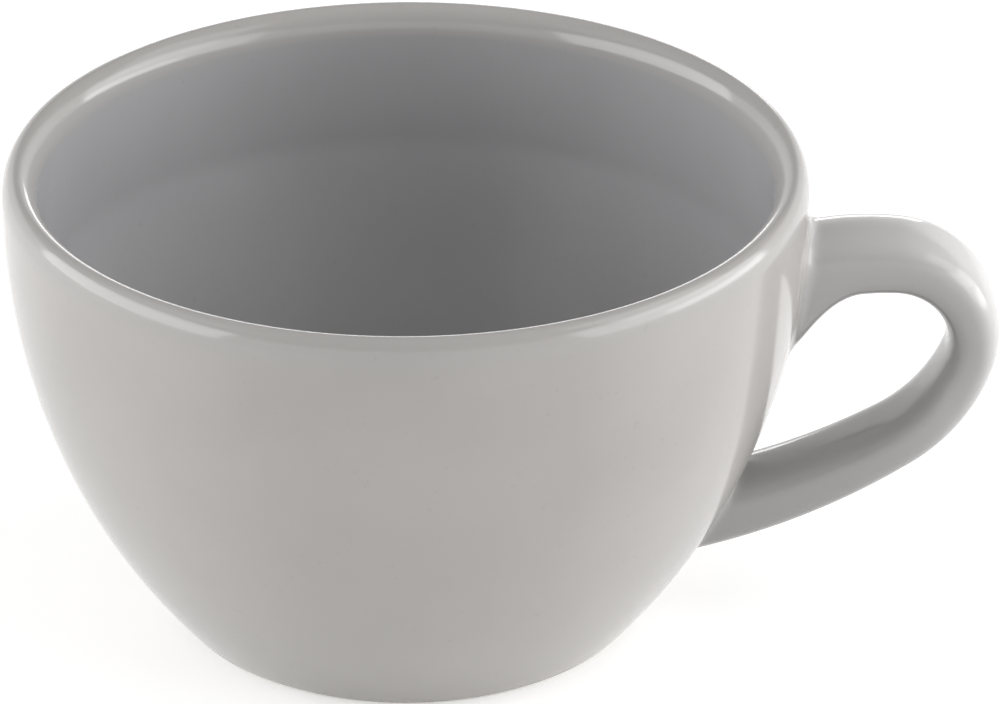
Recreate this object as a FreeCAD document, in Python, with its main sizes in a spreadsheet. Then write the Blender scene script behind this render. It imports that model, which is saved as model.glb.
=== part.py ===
import FreeCAD, Part
import math
import os

import Sketcher

# Cappuccino cup: a glazed stoneware bowl with one strap handle.
# Z points up, the cup stands on z = 0 and the bowl's axis is the Z axis.
# The handle points along +X.  All lengths are millimetres, all angles degrees.
# The clay sizes are those of the fired body under its glaze; the glaze adds its
# own thickness on every face that it covers.

SIZES = {
    # bowl
    "rim_radius": 51.7,
    "bowl_height": 62.9,
    "lip_band_height": 4.3,
    "side_radius": 88.0,
    "wall_thickness": 2.6,
    "lip_outer_round": 1.4,
    "lip_inner_round": 1.1,
    "floor_thickness": 3.6,
    "floor_round": 17.0,
    "foot_round": 1.0,
    "foot_ring_width": 3.35,
    "foot_recess_depth": 1.8,
    "recess_round": 1.0,
    # handle, along its centre line from the upper root to the lower root
    "root_reach_inside": 7.7,
    "root_drop_below_lip": 16.7,
    "root_rise_angle": 28.5,
    "upper_arm_radius": 36.0,
    "upper_arm_turn_angle": 32.0,
    "crown_radius": 10.7,
    "crown_turn_angle": 106.2,
    "grip_radius": 23.2,
    "grip_turn_angle": 38.0,
    "lower_arm_radius": 86.0,
    "lower_arm_turn_angle": 22.4,
    "upper_root_depth": 8.2,
    "crown_start_depth": 6.9,
    "crown_end_depth": 5.5,
    "grip_end_depth": 5.5,
    "lower_root_depth": 7.9,
    "upper_root_width": 12.0,
    "lower_root_width": 11.4,
    "back_edge_round": 2.5,
    "finger_edge_round": 2.4,
    "throat_drop": 4.9,
    # slip that sticks the handle on, and the glaze
    "slip_bed": 0.5,
    "glaze_thickness": 0.3,
    "bare_foot_height": 0.8,
    "bare_ring_margin": 0.5,
}

# Arms of the handle's centre line, from the upper root to the lower root, each
# with the strap's depth where it ends.
ARMS = {
    "upper_arm": "crown_start_depth",
    "crown": "crown_end_depth",
    "grip": "grip_end_depth",
    "lower_arm": "lower_root_depth",
}

# Number of even steps between the strap's cross-sections on each arm.
STATION_COUNTS = {"upper_arm": 6, "crown": 4, "grip": 4, "lower_arm": 7}

# The strap's underside flares down to the wall along the upper arm: the flare is
# full at the first share of that arm's length and ends at the second.
THROAT_FULL = 0.0
THROAT_END = 0.72

# Largest shares that roundings may take: of the strap's depth, on either side, and
# of the wall's thickness at the lip, outside and inside.
STRAP_ROUND_SHARE = 0.48
LIP_OUTER_SHARE = 0.55
LIP_INNER_SHARE = 0.43

# Degrees of a whole turn, and the distance within which two places are the same.
FULL_TURN = 360
SAME_PLACE = 0.01

# Shares of the bowl's height and rim radius that split the slip into its two joints.
JOINT_SPLIT_SHARE = 0.5
SPLITTER_REACH = 1.5

doc = FreeCAD.newDocument("cappuccino_cup")
sheet = doc.addObject("Spreadsheet::Sheet", "Sizes")
for row, (alias, number) in enumerate(SIZES.items(), start=1):
    sheet.set(f"A{row}", alias)
    sheet.set(f"B{row}", str(number))
    sheet.setAlias(f"B{row}", alias)
doc.recompute()


class Measure:
    """A length or an angle worked out from the sheet: its value and its formula."""

    def __init__(self, value, formula):
        self.value = value
        self.formula = formula

    def __add__(self, other):
        other = measure(other)
        return Measure(self.value + other.value, f"({self.formula} + {other.formula})")

    def __sub__(self, other):
        other = measure(other)
        return Measure(self.value - other.value, f"({self.formula} - {other.formula})")

    def __mul__(self, factor):
        return Measure(self.value * factor, f"({self.formula} * {factor!r})")


def measure(what):
    """The sheet's cell of that name, or a plain number."""
    if isinstance(what, Measure):
        return what
    if isinstance(what, str):
        return Measure(float(sheet.get(what)), f"Sizes.{what}")
    return Measure(float(what), repr(float(what)))


none = measure(0)
glaze = measure("glaze_thickness")


def dimension(sketch, kind, places, size):
    """Hold a sketch by one dimension that follows the sheet."""
    value = math.radians(size.value) if kind == "Angle" else size.value
    index = sketch.addConstraint(Sketcher.Constraint(kind, *places, value))
    sketch.setExpression(f"Constraints[{index}]", size.formula)


def point(across, up):
    return FreeCAD.Vector(across, up, 0)


def origin_plane(body, role):
    return next(plane for plane in body.Origin.OriginFeatures if plane.Role == role)


def half_section(body, name):
    """Sketch on the plane x = 0, whose first axis is the radius; the turned
    surfaces then have their seams at +Y, clear of the handle."""
    sketch = body.newObject("Sketcher::SketchObject", name)
    sketch.AttachmentSupport = [(origin_plane(body, "YZ_Plane"), "")]
    sketch.MapMode = "FlatFace"
    return sketch


def limited(size, limit):
    """The smaller of a size and what there is room for."""
    return Measure(min(size.value, limit.value), f"min({size.formula}; {limit.formula})")


def belt_height():
    """Height where the upright band under the lip meets the side's arc."""
    return measure("bowl_height") - measure("lip_band_height")


def arc_axis():
    """Radial place of the side arc's centre, which lies level with the belt."""
    return measure("rim_radius") - measure("side_radius")


def side_place(radius, height):
    """Radial place where the side's arc, of that radius, passes a height."""
    drop = belt_height() - height
    run = math.sqrt(radius.value**2 - drop.value**2)
    return arc_axis() + Measure(run, f"sqrt({radius.formula}^2 - {drop.formula}^2)")


def foot_ring_radius():
    """Inner radius of the foot ring."""
    return side_place(measure("side_radius"), none) - measure("foot_ring_width")


def side_profile(sketch, inset, bottom, top):
    """Half section of everything inside the bowl's side, brought in by an inset:
    axis, bottom, side arc, upright belt, top."""
    radius = measure("side_radius") - inset
    rim = measure("rim_radius") - inset
    belt = belt_height()
    centre = point(arc_axis().value, belt.value)
    low = point(side_place(radius, bottom).value, bottom.value)
    shoulder = point(rim.value, belt.value)
    corner = point(rim.value, top.value)
    circle = Part.Circle(centre, FreeCAD.Vector(0, 0, 1), radius.value)
    start_angle = math.atan2(low.y - centre.y, low.x - centre.x)
    floor = sketch.addGeometry(Part.LineSegment(point(0, bottom.value), low), False)
    side = sketch.addGeometry(Part.ArcOfCircle(circle, start_angle, 0.0), False)
    upright = sketch.addGeometry(Part.LineSegment(shoulder, corner), False)
    lid = sketch.addGeometry(Part.LineSegment(corner, point(0, top.value)), False)
    axis = sketch.addGeometry(Part.LineSegment(point(0, top.value), point(0, bottom.value)), False)
    for first, first_end, second, second_end in (
        (floor, 2, side, 1),
        (side, 2, upright, 1),
        (upright, 2, lid, 1),
        (lid, 2, axis, 1),
        (axis, 2, floor, 1),
    ):
        sketch.addConstraint(Sketcher.Constraint("Coincident", first, first_end, second, second_end))
    for level in (floor, lid):
        sketch.addConstraint(Sketcher.Constraint("Horizontal", level))
    for plumb in (upright, axis):
        sketch.addConstraint(Sketcher.Constraint("Vertical", plumb))
    sketch.addConstraint(Sketcher.Constraint("PointOnObject", axis, 1, -2))
    dimension(sketch, "DistanceX", (-1, 1, side, 2), rim)
    dimension(sketch, "DistanceY", (-1, 1, side, 2), belt)
    dimension(sketch, "DistanceY", (-1, 1, side, 3), belt)
    dimension(sketch, "Radius", (side,), radius)
    dimension(sketch, "DistanceY", (-1, 1, lid, 1), top)
    if bottom.value > 0:
        dimension(sketch, "DistanceY", (-1, 1, floor, 1), bottom)
    else:
        sketch.addConstraint(Sketcher.Constraint("PointOnObject", floor, 1, -1))


def turned(body, name, kind, inset, bottom, top):
    """Full turn of a side profile about Z: a Revolution adds it, a Groove cuts it."""
    sketch = half_section(body, name + "_profile")
    side_profile(sketch, inset, bottom, top)
    turn = body.newObject(f"PartDesign::{kind}", name)
    turn.Profile = sketch
    turn.ReferenceAxis = (sketch, ["V_Axis"])
    turn.Angle = FULL_TURN
    doc.recompute()


def new_body(name):
    body = doc.addObject("PartDesign::Body", name)
    body.Label = name
    return body


def ring_edges(shape, radius, height):
    """Names of the level circles of one radius at one height."""
    names = []
    for index, edge in enumerate(shape.Edges, start=1):
        spot = edge.valueAt(edge.FirstParameter)
        rises = max(abs(spot.z - height), abs(edge.CenterOfMass.z - height))
        if rises < SAME_PLACE and abs(math.hypot(spot.x, spot.y) - radius) < SAME_PLACE:
            names.append(f"Edge{index}")
    return names


def rounded(body, name, edges, radius):
    """Fillet whose radius follows the sheet."""
    rounded_feature = body.Tip
    fillet = body.newObject("PartDesign::Fillet", name)
    fillet.Base = (rounded_feature, edges)
    fillet.Radius = radius.value
    fillet.setExpression("Radius", radius.formula)
    doc.recompute()


def solid_bowl(name, swell, bottom):
    """Bowl without its hollow, grown outwards by a swell."""
    body = new_body(name)
    top = measure("bowl_height") + swell
    turned(body, name + "_turned", "Revolution", measure(0) - swell, bottom, top)
    return body


def hollow_out(body, name, swell):
    """Cut the drinking space, whose own faces come in by a swell, and round the
    lip and the floor's corner."""
    wall = measure("wall_thickness") + swell
    floor = measure("foot_recess_depth") + measure("floor_thickness") + swell
    top = measure("bowl_height") + swell
    turned(body, name + "_hollow", "Groove", wall, floor, top)
    rim = measure("rim_radius") + swell
    inner_rim = measure("rim_radius") - wall
    outer_round = limited(measure("lip_outer_round"), measure("wall_thickness") * LIP_OUTER_SHARE)
    inner_round = limited(measure("lip_inner_round"), measure("wall_thickness") * LIP_INNER_SHARE)
    lip = ring_edges(body.Tip.Shape, rim.value, top.value)
    rounded(body, name + "_lip_outside", lip, outer_round + swell)
    lip = ring_edges(body.Tip.Shape, inner_rim.value, top.value)
    rounded(body, name + "_lip_inside", lip, inner_round + swell)
    floor_radius = side_place(measure("side_radius") - wall, floor)
    corner = ring_edges(body.Tip.Shape, floor_radius.value, floor.value)
    rounded(body, name + "_floor_corner", corner, measure("floor_round") - swell)


def centre_line():
    """The handle's centre line on the plane y = 0: four arcs, each tangent to the
    one before, held by their radii and turns."""
    sketch = doc.addObject("Sketcher::SketchObject", "handle_centre_line")
    sketch.Placement = FreeCAD.Placement(point(0, 0), FreeCAD.Rotation(FreeCAD.Vector(1, 0, 0), 90))
    root_radius = measure("rim_radius") - measure("root_reach_inside")
    root_height = measure("bowl_height") - measure("root_drop_below_lip")
    place = point(root_radius.value, root_height.value)
    heading = math.radians(measure("root_rise_angle").value)
    arcs = []
    for arm in ARMS:
        radius = measure(arm + "_radius")
        turn = measure(arm + "_turn_angle")
        centre = place + point(math.sin(heading), -math.cos(heading)) * radius.value
        next_heading = heading - math.radians(turn.value)
        circle = Part.Circle(centre, FreeCAD.Vector(0, 0, 1), radius.value)
        curve = Part.ArcOfCircle(circle, next_heading + math.pi / 2, heading + math.pi / 2)
        arcs.append(sketch.addGeometry(curve, False))
        place = centre - point(math.sin(next_heading), -math.cos(next_heading)) * radius.value
        heading = next_heading
    for before, after in zip(arcs, arcs[1:]):
        sketch.addConstraint(Sketcher.Constraint("Tangent", before, 1, after, 2))
    for arm, arc in zip(ARMS, arcs):
        dimension(sketch, "Radius", (arc,), measure(arm + "_radius"))
        dimension(sketch, "Angle", (arc,), measure(arm + "_turn_angle"))
    dimension(sketch, "DistanceX", (-1, 1, arcs[0], 2), root_radius)
    dimension(sketch, "DistanceY", (-1, 1, arcs[0], 2), root_height)
    first_arc = sketch.Geometry[arcs[0]]
    spoke = sketch.addGeometry(Part.LineSegment(first_arc.Center, first_arc.EndPoint), True)
    sketch.addConstraint(Sketcher.Constraint("Coincident", spoke, 1, arcs[0], 3))
    sketch.addConstraint(Sketcher.Constraint("Coincident", spoke, 2, arcs[0], 2))
    dimension(sketch, "Angle", (-1, 1, spoke, 1), measure("root_rise_angle") + 90)
    doc.recompute()
    return sketch


def arm_lengths():
    turns = {arm: math.radians(measure(arm + "_turn_angle").value) for arm in ARMS}
    return {arm: measure(arm + "_radius").value * turns[arm] for arm in ARMS}


def mix(start, end, share):
    """Measure that lies a share of the way from one to the other."""
    return start * (1 - share) + end * share


def throat_flare(share):
    """Smooth ramp from 1 where the throat is full to 0 where it ends."""
    ramp = (THROAT_END - share) / (THROAT_END - THROAT_FULL)
    ramp = min(max(ramp, 0.0), 1.0)
    return ramp**2 * (3 - 2 * ramp)


def strap_section(path, name, arm, share, swell):
    """Rounded rectangle square to the centre line: its first axis points away from
    the finger hole, its second across the strap."""
    sketch = doc.addObject("Sketcher::SketchObject", name)
    arms = list(ARMS)
    place = arms.index(arm)
    sketch.AttachmentSupport = [(path, f"Edge{len(arms) - place}")]
    sketch.MapMode = "FrenetNB"
    sketch.MapPathParameter = 1 - share
    lengths = arm_lengths()
    passed = sum(lengths[before] for before in arms[:place]) + share * lengths[arm]
    start_depth = measure(ARMS[arms[place - 1]] if place else "upper_root_depth")
    depth = mix(start_depth, measure(ARMS[arm]), share)
    half_depth = depth * 0.5 + swell
    width = mix(measure("upper_root_width"), measure("lower_root_width"), passed / sum(lengths.values()))
    half_width = width * 0.5 + swell
    finger_side = half_depth
    if arm == "upper_arm":
        finger_side = half_depth + measure("throat_drop") * throat_flare(share)
    room = depth * STRAP_ROUND_SHARE
    back_round = limited(measure("back_edge_round"), room) + swell
    finger_round = limited(measure("finger_edge_round"), room) + swell
    rounded_rectangle(sketch, half_depth, finger_side, half_width, back_round, finger_round)
    return sketch


def rounded_rectangle(sketch, right, left, half_height, right_round, left_round):
    """Rectangle from -left to right and from -half_height to half_height, with one
    rounding for its two right corners and one for its two left corners."""
    corners = (
        (right.value, -half_height.value, right_round, -90),
        (right.value, half_height.value, right_round, 0),
        (-left.value, half_height.value, left_round, 90),
        (-left.value, -half_height.value, left_round, 180),
    )
    arcs = []
    for across, up, size, start in corners:
        reach = size.value
        centre = point(across - math.copysign(reach, across), up - math.copysign(reach, up))
        circle = Part.Circle(centre, FreeCAD.Vector(0, 0, 1), reach)
        arc = Part.ArcOfCircle(circle, math.radians(start), math.radians(start + 90))
        arcs.append(sketch.addGeometry(arc, False))
    sides = []
    for arc, following in zip(arcs, arcs[1:] + arcs[:1]):
        start = sketch.Geometry[arc].EndPoint
        end = sketch.Geometry[following].StartPoint
        side = sketch.addGeometry(Part.LineSegment(start, end), False)
        sketch.addConstraint(Sketcher.Constraint("Tangent", arc, 2, side, 1))
        sketch.addConstraint(Sketcher.Constraint("Tangent", side, 2, following, 1))
        sides.append(side)
    for side, kind in zip(sides, ("Vertical", "Horizontal", "Vertical", "Horizontal")):
        sketch.addConstraint(Sketcher.Constraint(kind, side))
    for arc, (_, _, size, _) in zip(arcs, corners):
        dimension(sketch, "Radius", (arc,), size)
    dimension(sketch, "DistanceX", (-1, 1, sides[0], 1), right)
    dimension(sketch, "DistanceY", (-1, 1, sides[1], 1), half_height)
    dimension(sketch, "DistanceX", (sides[2], 1, -1, 1), left)
    dimension(sketch, "DistanceY", (sides[3], 1, -1, 1), half_height)


def strap(path, name, swell):
    """The handle's strap, lofted through its cross-sections; both its ends reach
    into the bowl, past the wall's outer face."""
    sections = []
    for arm, steps in STATION_COUNTS.items():
        for step in range(steps):
            label = f"{name}_{arm}_{step}"
            sections.append(strap_section(path, label, arm, step / steps, swell))
    sections.append(strap_section(path, f"{name}_end", "lower_arm", 1.0, swell))
    loft = doc.addObject("Part::Loft", name)
    loft.Sections = sections
    loft.Solid = True
    loft.Ruled = False
    doc.recompute()
    return loft


def combined(kind, name, base, tool):
    """Cut or common object of the document."""
    result = doc.addObject(kind, name)
    result.Label = name
    result.Base = base
    result.Tool = tool
    doc.recompute()
    return result


def fused_body(name, shapes):
    """Body that starts from several joined shapes."""
    joined = doc.addObject("Part::MultiFuse", name + "_joined")
    joined.Shapes = shapes
    body = new_body(name)
    body.BaseFeature = joined
    doc.recompute()
    return body


def cylinder(name, radius, height, bottom):
    """Upright cylinder on the bowl's axis."""
    shape = doc.addObject("Part::Cylinder", name)
    shape.Label = name
    for cell, size in (("Radius", radius), ("Height", height), ("Placement.Base.z", bottom)):
        shape.setExpression(cell, size.formula)
    doc.recompute()
    return shape


def hollow_foot(body, name):
    """Cut the recess under the floor and round the foot ring's edges."""
    sketch = body.newObject("Sketcher::SketchObject", name + "_recess_profile")
    sketch.AttachmentSupport = [(origin_plane(body, "XY_Plane"), "")]
    sketch.MapMode = "FlatFace"
    radius = foot_ring_radius()
    circle = Part.Circle(point(0, 0), FreeCAD.Vector(0, 0, 1), radius.value)
    ring = sketch.addGeometry(circle, False)
    sketch.addConstraint(Sketcher.Constraint("Coincident", ring, 3, -1, 1))
    dimension(sketch, "Radius", (ring,), radius)
    depth = measure("foot_recess_depth")
    pocket = body.newObject("PartDesign::Pocket", name + "_recess")
    pocket.Profile = sketch
    pocket.Reversed = True
    pocket.setExpression("Length", depth.formula)
    doc.recompute()
    foot_radius = side_place(measure("side_radius"), none)
    foot = ring_edges(body.Tip.Shape, foot_radius.value, 0)
    rounded(body, name + "_foot_edge", foot, measure("foot_round"))
    ceiling = ring_edges(body.Tip.Shape, radius.value, depth.value)
    rounded(body, name + "_recess_corner", ceiling, measure("recess_round"))


def bowl_piece():
    """The clay bowl: solid of revolution, hollowed, with its foot ring."""
    body = solid_bowl("cup_body", none, none)
    hollow_out(body, "cup_body", none)
    hollow_foot(body, "cup_body")
    return body


def handle_pieces(path):
    """The clay handle, which stops short of the wall by the slip's bed, and the two
    joints of slip that fill those beds."""
    wall_form = solid_bowl("wall_form", none, none)
    bed_form = solid_bowl("bed_form", measure("slip_bed"), none)
    clay_strap = strap(path, "clay_strap", none)
    handle = combined("Part::Cut", "handle", clay_strap, bed_form)
    strap_in_bed = combined("Part::Common", "strap_in_bed", clay_strap, bed_form)
    slip = combined("Part::Cut", "slip", strap_in_bed, wall_form)
    height = measure("bowl_height") * JOINT_SPLIT_SHARE
    reach = measure("rim_radius") * SPLITTER_REACH
    splitter = cylinder("joint_splitter", reach, height, height)
    upper = combined("Part::Common", "upper_slip_joint", slip, splitter)
    lower = combined("Part::Cut", "lower_slip_joint", slip, splitter)
    return [handle, upper, lower]


def glaze_pieces(path, clay_pieces):
    """The glaze: one coat over the bowl, inside and out, and over the handle, and
    one disc on the ceiling of the foot's recess.  The foot ring stays bare."""
    glazed_wall = solid_bowl("glazed_wall", glaze, measure("bare_foot_height"))
    glazed_strap = strap(path, "glazed_strap", glaze)
    glazed_form = fused_body("glazed_form", [glazed_wall, glazed_strap])
    hollow_out(glazed_form, "glazed_form", glaze)
    margin = measure("bare_ring_margin")
    ring_radius = foot_ring_radius()
    recess_depth = measure("foot_recess_depth")
    foot_space = cylinder("foot_space", ring_radius + margin, recess_depth + margin, none)
    coat = glazed_form
    for piece in clay_pieces:
        coat = combined("Part::Cut", "coat_off_" + piece.Label, coat, piece)
    coat = combined("Part::Cut", "glaze_coat", coat, foot_space)
    disc_radius = ring_radius - measure("recess_round") - margin
    disc = cylinder("base_glaze", disc_radius, glaze, recess_depth - glaze)
    return [coat, disc]


def check(pieces):
    """Stop on any object in error and on any piece that isn't one valid solid."""
    for thing in doc.Objects:
        if "Invalid" in thing.State or "Error" in thing.State:
            raise RuntimeError(f"{thing.Label} is in error")
    for piece in pieces:
        shape = piece.Shape
        if shape.isNull() or not shape.isValid() or len(shape.Solids) != 1:
            raise RuntimeError(f"{piece.Label} is not one valid solid")


handle_path = centre_line()
clay = [bowl_piece()] + handle_pieces(handle_path)
cup = clay + glaze_pieces(handle_path, clay)
doc.recompute()
check(cup)
os.makedirs("parts", exist_ok=True)
for node in cup:
    node.Shape.exportStep(f"parts/{node.Label}.step")
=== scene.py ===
import logging
import math
from dataclasses import dataclass, field
from enum import Enum
from typing import ClassVar, Self

import bpy
import numpy as np
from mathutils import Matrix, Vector


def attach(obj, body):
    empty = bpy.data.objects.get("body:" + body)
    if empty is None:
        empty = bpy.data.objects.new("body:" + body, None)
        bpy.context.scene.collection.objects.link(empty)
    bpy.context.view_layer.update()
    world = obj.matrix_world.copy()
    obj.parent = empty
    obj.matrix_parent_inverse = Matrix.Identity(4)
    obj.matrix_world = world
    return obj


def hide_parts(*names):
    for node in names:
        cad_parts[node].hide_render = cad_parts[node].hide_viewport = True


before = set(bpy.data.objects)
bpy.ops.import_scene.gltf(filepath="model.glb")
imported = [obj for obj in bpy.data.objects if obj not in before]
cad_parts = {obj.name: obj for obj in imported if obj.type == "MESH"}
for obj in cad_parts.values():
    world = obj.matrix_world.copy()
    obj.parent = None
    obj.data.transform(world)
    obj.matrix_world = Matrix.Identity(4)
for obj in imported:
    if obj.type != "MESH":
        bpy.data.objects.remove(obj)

log = logging.getLogger("cappuccino_cup")

MM = 0.001
CM = 0.01
SAME_SPOT = 1e-4  # millimetres
SEAM_GAP = 1e-7  # metres
ROUNDING = 1e-9
WHITE = (1.0, 1.0, 1.0)
# most of a noise pattern lies between these
CLOUD_LOW, CLOUD_HIGH = 0.3, 0.7
# the colour sockets of a mix node
MIX_FACTOR, MIX_FIRST, MIX_SECOND, MIX_RESULT = 0, 6, 7, 2

Point = tuple[float, float]
Colour = tuple[float, float, float]
Place = tuple[float, float, float]
Finish = bpy.types.Material
Socket = bpy.types.NodeSocket
Value = Socket | float
Array = np.ndarray


class Node(str, Enum):
    """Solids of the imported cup."""

    BOWL = "cup_body"
    HANDLE = "handle"
    UPPER_SLIP = "upper_slip_joint"
    LOWER_SLIP = "lower_slip_joint"
    COAT = "glaze_coat"
    FOOT_GLAZE = "base_glaze"


class Slot(str, Enum):
    """Material slots of the cup's record."""

    CLAY = "fired_clay"
    SLIP = "fired_slip"
    GLAZE = "grey_glaze"


# ---------------------------------------------------------------- wiring


class Wiring:
    """Short-hand for wiring a node tree."""

    tree: bpy.types.NodeTree

    def add(self, kind: str, **settings: object) -> bpy.types.Node:
        """Add a node and set its properties and input values.

        Args:
            kind: Node type.
            settings: Properties by name, or input values as in_Name.

        Returns:
            The new node.
        """
        node = self.tree.nodes.new(kind)
        for key, value in settings.items():
            if key.startswith("in_"):
                node.inputs[key[3:].replace("_", " ")].default_value = value
            else:
                setattr(node, key, value)
        return node

    def join(self, source: Value, target: Socket) -> None:
        """Link a socket to an input, or set the input to a number.

        Args:
            source: Socket or number.
            target: The input.
        """
        if isinstance(source, (int, float)):
            target.default_value = source
        else:
            self.tree.links.new(source, target)

    def maths(self, operation: str, first: Value, second: Value = 0.0) -> Socket:
        """Add a Math node.

        Args:
            operation: What it does.
            first: Socket or number.
            second: Socket or number.

        Returns:
            Its result.
        """
        node = self.add("ShaderNodeMath", operation=operation)
        for place, value in enumerate((first, second)):
            self.join(value, node.inputs[place])
        return node.outputs[0]


class NodeSketch(Wiring):
    """The nodes of one material, or of the surroundings."""

    def __init__(
        self, owner: Finish | bpy.types.World, coordinates: str = "Object", end: str = "Material"
    ) -> None:
        """Start with the output and the coordinates alone.

        Args:
            owner: Material or surroundings.
            coordinates: Coordinates that its patterns read.
            end: Kind of output.
        """
        owner.use_nodes = True
        self.owner = owner
        self.tree = owner.node_tree
        self.tree.nodes.clear()
        self.output = self.add("ShaderNodeOutput" + end)
        self.place = self.add("ShaderNodeTexCoord").outputs[coordinates]

    def noise(self, scale: float, detail: float) -> Socket:
        """Cloudy pattern on the piece's own coordinates.

        Args:
            scale: Patches to the metre.
            detail: Layers of finer cloud.

        Returns:
            The pattern, about 0 to 1.
        """
        cloud = self.add("ShaderNodeTexNoise", in_Scale=scale, in_Detail=detail, in_Roughness=0.5)
        self.join(self.place, cloud.inputs["Vector"])
        return cloud.outputs["Fac"]

    def between(self, pattern: Socket, low: Point, high: Point, way: str = "LINEAR") -> Socket:
        """Stretch a pattern from one range to another.

        Args:
            pattern: Value to stretch.
            low: Value of the pattern and what it becomes.
            high: The same at the other end.
            way: How it runs between them.

        Returns:
            The stretched value, held inside its ends.
        """
        stretch = self.add("ShaderNodeMapRange", interpolation_type=way)
        for name, value in zip(("From Min", "To Min", "From Max", "To Max"), (*low, *high)):
            stretch.inputs[name].default_value = value
        self.join(pattern, stretch.inputs["Value"])
        return stretch.outputs["Result"]

    def shade(self, pattern: Socket, stops: tuple[float, ...], *colours: Colour) -> Socket:
        """Turn a pattern into a run of colours.

        Args:
            pattern: Value from 0 to 1.
            stops: Values that get a colour of their own.
            colours: Their colours.

        Returns:
            The colour.
        """
        ramp = self.add("ShaderNodeValToRGB")
        elements = ramp.color_ramp.elements
        while len(elements) < len(colours):
            elements.new(0.5)
        for element, place, colour in zip(elements, stops, colours):
            element.position = place
            element.color = (*colour, 1.0)
        self.join(pattern, ramp.inputs["Fac"])
        return ramp.outputs["Color"]

    def tinted(self, pattern: Socket, low: Colour, high: Colour) -> Socket:
        """Run of two colours over most of a cloudy pattern."""
        return self.shade(pattern, (CLOUD_LOW, CLOUD_HIGH), low, high)

    def mixed(self, factor: Value, first: Socket, second: Socket, way: str = "MIX") -> Socket:
        """Blend two colours by a factor.

        Args:
            factor: Share of the second colour.
            first: Colour at 0.
            second: Colour at 1.
            way: How they are blended.

        Returns:
            The blended colour.
        """
        mix = self.add("ShaderNodeMix", data_type="RGBA", blend_type=way)
        for place, value in ((MIX_FACTOR, factor), (MIX_FIRST, first), (MIX_SECOND, second)):
            self.join(value, mix.inputs[place])
        return mix.outputs[MIX_RESULT]

    def either(self, factor: Socket, first: Socket, second: Socket) -> Socket:
        """Mix two shaders.

        Args:
            factor: Share of the second.
            first: Shader at 0.
            second: Shader at 1.

        Returns:
            The mixed shader.
        """
        mix = self.add("ShaderNodeMixShader")
        for place, part in enumerate((factor, first, second)):
            self.join(part, mix.inputs[place])
        return mix.outputs[0]

    def bumps(self, layers: list[tuple[Socket, float, float]]) -> Socket:
        """Stack bump layers, coarse to fine.

        Args:
            layers: Pattern, strength and height in metres of each.

        Returns:
            The bumped normal.
        """
        normal = None
        for pattern, strength, height in layers:
            bump = self.add("ShaderNodeBump", in_Strength=strength, in_Distance=height)
            self.join(pattern, bump.inputs["Height"])
            if normal is not None:
                self.join(normal, bump.inputs["Normal"])
            normal = bump.outputs["Normal"]
        return normal

    def fired(self, colour: Socket, gloss: Socket, normal: Socket, bend: float) -> Finish:
        """End the material in a fired surface.

        Args:
            colour: Its colour.
            gloss: Its roughness.
            normal: Its bumped normal.
            bend: How strongly it bends light.

        Returns:
            The material.
        """
        shader = self.add("ShaderNodeBsdfPrincipled", in_IOR=bend)
        self.join(colour, shader.inputs["Base Color"])
        self.join(gloss, shader.inputs["Roughness"])
        self.join(normal, shader.inputs["Normal"])
        self.join(shader.outputs["BSDF"], self.output.inputs["Surface"])
        return self.owner


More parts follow.
